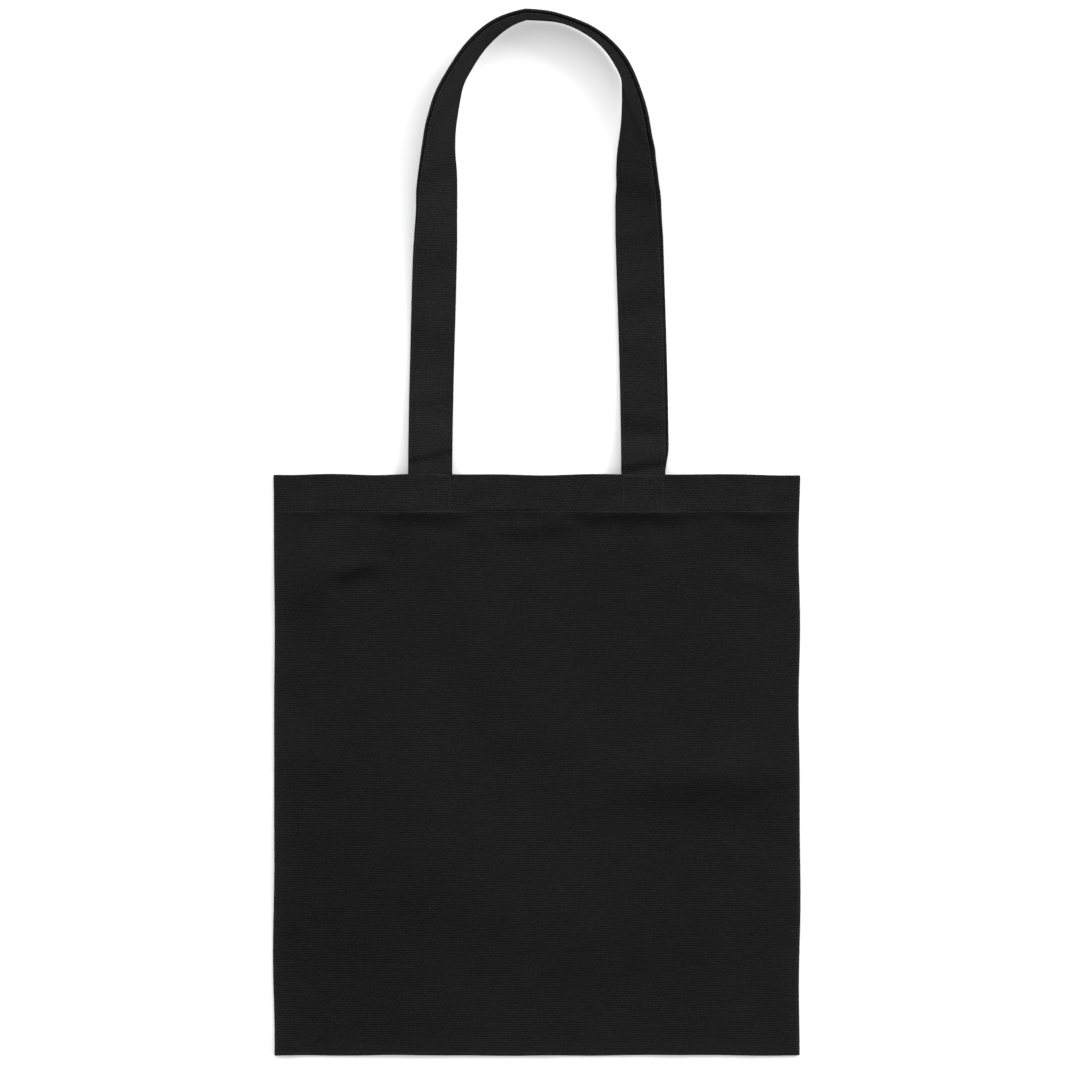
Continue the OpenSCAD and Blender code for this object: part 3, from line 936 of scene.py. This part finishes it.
BODY_BLACK = (0.0055, 0.0055, 0.0055)
STRAP_BLACK = (0.0089, 0.0089, 0.0089)
WORN_BLACK = (0.0180, 0.0180, 0.0180)
body_canvas = canvas("body_canvas", BODY_BLACK, WORN_BLACK, 1.30, 2.1)
strap_canvas = canvas("strap_canvas", STRAP_BLACK, WORN_BLACK, 0.85, 2.3)
sewing_thread = thread("sewing_thread", (0.0145, 0.0145, 0.0145))
hem_thread = thread("hem_thread", (0.0175, 0.0175, 0.0175))
edging_thread = thread("edging_thread", (0.0080, 0.0080, 0.0080))

# ---------------------------------------------------------------- the bag
# The front panel with its hem, and the back panel with its own
front_cloth = dress(cloth_panel("front_cloth", True), body_canvas)
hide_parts("front_panel", "front_hem")
follow_the_mouth(front_cloth)

back_cloth = dress(cloth_panel("back_cloth", False), body_canvas)
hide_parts("back_panel", "back_hem")
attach(back_cloth, "root")

# The handles follow one line, the back one a layer below it and peeking out past the front one
below = STRAP_T + HANDLE_GAP
lift = STRAP_T / 2 + below
front_drop = FRONT_END_Z - lift
front_frames = handle_frames(lift, front_drop, FRONT_DROP, below=0.0, peek=0.0, slack=0.0004)
back_drop = BACK_END_Z - STRAP_T / 2
back_frames = handle_frames(lift, back_drop, BACK_DROP, below=below, peek=BACK_PEEK, slack=0.00002)

for which, frames, body, loop, seed in (
    ("front", front_frames, "front_side", "front_loop", 21),
    ("back", back_frames, "root", "back_loop", 22),
):
    handle = dress(strap(which + "_strap", frames), strap_canvas)
    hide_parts(which + "_handle", which + "_left_strap_end", which + "_right_strap_end")
    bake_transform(handle)
    rows = dress(strap_stitches(which + "_strap_stitches", frames, seed), sewing_thread)
    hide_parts(which + "_handle_stitching")
    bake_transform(rows)

hem_stitches = dress(front_stitches("front_hem_stitches", hem_rows(), 31), hem_thread)
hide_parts("front_hem_stitching")
follow_the_mouth(hem_stitches)

back_inner = 1.5 * CLOTH + 2.0 * FOLD
back_hem = [(*row, z, way) for row in hem_rows() for z, way in ((back_inner, 1), (SUNK, -1))]
back_hem_stitches = dress(flat_stitches("back_hem_stitches", back_hem, 32), hem_thread)
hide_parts("back_hem_stitching")
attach(back_hem_stitches, "root")

for side_name, side, seed in (("left", -1, 41), ("right", 1, 43)):
    box = front_stitches(f"front_{side_name}_box_stitches", box_rows(side), seed)
    dress(box, sewing_thread)
    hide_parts(f"front_{side_name}_box_stitching")
    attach(box, "front_side")
    top = BACK_END_Z + STRAP_T / 2
    both = [(*row, z, way) for row in box_rows(side) for z, way in ((top, 1), (SUNK, -1))]
    box = flat_stitches(f"back_{side_name}_box_stitches", both, seed + 1)
    dress(box, sewing_thread)
    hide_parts(f"back_{side_name}_box_stitching")
    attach(box, "root")

for seam, edge_at, seed in (("left", -1, 51), ("right", 1, 53), ("bottom", -1, 55)):
    strip = allowance(seam + "_allowance", seam + "_seam_allowance", edge_at, seed)
    dress(strip, body_canvas)
    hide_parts(seam + "_seam_allowance")
    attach(strip, "root")
    edging = overlock(seam + "_overlock_thread", seam + "_overlock", edge_at, seed + 1)
    dress(edging, edging_thread)
    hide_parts(seam + "_overlock")
    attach(edging, "root")


# ---------------------------------------------------------------- floor, light and camera
def floor():
    """A white floor just under the lowest stitches of the back."""
    mesh = bpy.data.meshes.new("floor")
    size, z = 6.0, -0.0005
    corners = [(-size, -size, z), (size, -size, z), (size, size, z), (-size, size, z)]
    mesh.from_pydata(corners, [], [(0, 1, 2, 3)])
    obj = bpy.data.objects.new("floor", mesh)
    bpy.context.scene.collection.objects.link(obj)
    material = bpy.data.materials.new("floor_white")
    material.use_nodes = True
    shader = material.node_tree.nodes["Principled BSDF"]
    shader.inputs["Base Color"].default_value = (0.93, 0.93, 0.93, 1.0)
    shader.inputs["Roughness"].default_value = 1.0
    shader.inputs["Specular IOR Level"].default_value = 0.0
    mesh.materials.append(material)


def lights():
    """A bright room, brightest towards the handles, and a soft light low on the right."""
    world = bpy.data.worlds.new("studio")
    world.use_nodes = True
    tree = world.node_tree
    background = tree.nodes["Background"]
    bright_side = math.radians(100)
    ray = node_of(tree, "ShaderNodeTexCoord").outputs["Generated"]
    direction = (math.cos(bright_side), math.sin(bright_side), 0.0)
    towards = node_of(tree, "ShaderNodeVectorMath", (ray, direction), operation="DOT_PRODUCT")
    strength = maths(tree, "MULTIPLY_ADD", towards.outputs["Value"], 0.80, 1.32)
    tree.links.new(strength, background.inputs["Strength"])
    background.inputs["Color"].default_value = (1.0, 1.0, 1.0, 1.0)
    bpy.context.scene.world = world
    key = bpy.data.lights.new("key", "SUN")
    key.energy = 1.9
    key.angle = math.radians(25)
    obj = bpy.data.objects.new("key", key)
    elevation, azimuth = math.radians(34), math.radians(35)
    obj.rotation_euler = (0.0, math.pi / 2 - elevation, azimuth)
    bpy.context.scene.collection.objects.link(obj)


def camera():
    """Straight above and far away, with the framing of a plain product picture."""
    data = bpy.data.cameras.new("camera")
    distance, view_width = 30.0, 0.7808
    middle_x, middle_y = 0.00235, -0.0049
    data.sensor_width = 36.0
    data.lens = data.sensor_width * distance / view_width
    data.clip_end = 100.0
    obj = bpy.data.objects.new("camera", data)
    obj.location = (middle_x, middle_y, distance)
    bpy.context.scene.collection.objects.link(obj)
    bpy.context.scene.camera = obj


floor()
lights()
camera()
bpy.context.scene.view_settings.view_transform = "Standard"
